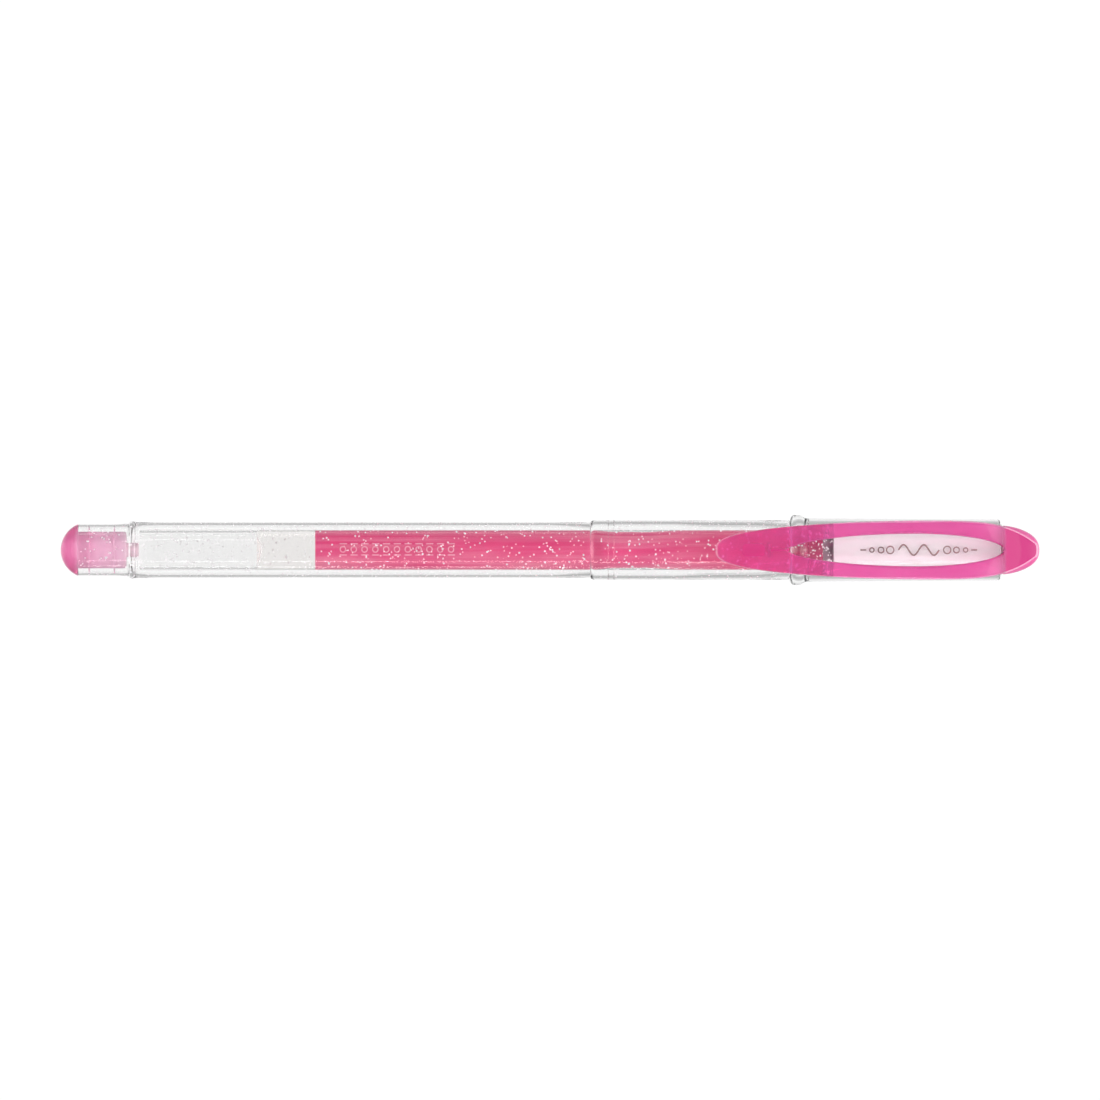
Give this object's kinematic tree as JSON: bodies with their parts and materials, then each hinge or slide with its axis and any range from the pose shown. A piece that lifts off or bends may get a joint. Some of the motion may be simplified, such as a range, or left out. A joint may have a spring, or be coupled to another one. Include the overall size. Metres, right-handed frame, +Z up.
{
  "type": "gel pen",
  "caption": "Capped gel pen: clear glittered barrel and grip, translucent refill with coloured gel ink, and a clear cap with a translucent coloured clip.",
  "frame": {"origin": "centre of the bounding box's bottom face: half way along the pen, under its axis, on the surface that the bead of the cap rests on", "axes": "+X along the pen towards the capped writing end, -X towards the tail, +Z up through the clip"},
  "size_m": [0.1494, 0.0106, 0.0139],
  "materials": {
    "pink_plastic": "translucent, glossy, tinted through",
    "glitter_clear": "clear glossy plastic with silver flakes",
    "clear_plastic": "clear glossy plastic",
    "tube_plastic": "milky translucent, satin",
    "gel_ink": "wet gel pigment ink",
    "grease": "clear gel",
    "white_plastic": "opaque white, satin",
    "tip_steel": "turned stainless steel",
    "ball_carbide": "polished tungsten carbide",
    "seal_rubber": "soft matte"
  },
  "bodies": {
    "pen": {"barrel": "glitter_clear", "tail_plug": "pink_plastic", "grip_section": "glitter_clear", "nose_cone": "clear_plastic", "refill_tube": "tube_plastic", "ink": "gel_ink", "tip_holder": "tube_plastic", "tip": "tip_steel"},
    "follower": {"ink_follower": "grease"},
    "ball": {"ball": "ball_carbide"},
    "cap": {"cap_tube": "clear_plastic", "inner_cap": "white_plastic", "tip_seal": "seal_rubber", "cap_plug": "pink_plastic"},
    "clip": {"clip": "pink_plastic"}
  },
  "joints": [
    {"name": "cap_slide", "type": "slide", "parent": "pen", "child": "cap", "axis": [1, 0, 0], "range_m": [0, 0.045]},
    {"name": "clip_flex", "type": "hinge", "parent": "cap", "child": "clip", "pos_m": [0.07045, 0, 0.01235], "axis": [0, 1, 0], "range_deg": [0, 4], "stiffness_Nm_per_rad": 1.8},
    {"name": "ball_roll", "type": "hinge", "parent": "pen", "child": "ball", "pos_m": [0.061, 0, 0.00535], "axis": [0, 1, 0], "continuous": true},
    {"name": "follower_slide", "type": "slide", "parent": "pen", "child": "follower", "axis": [1, 0, 0], "range_m": [0, 0.0765], "deforming": ["ink"]}
  ]
}
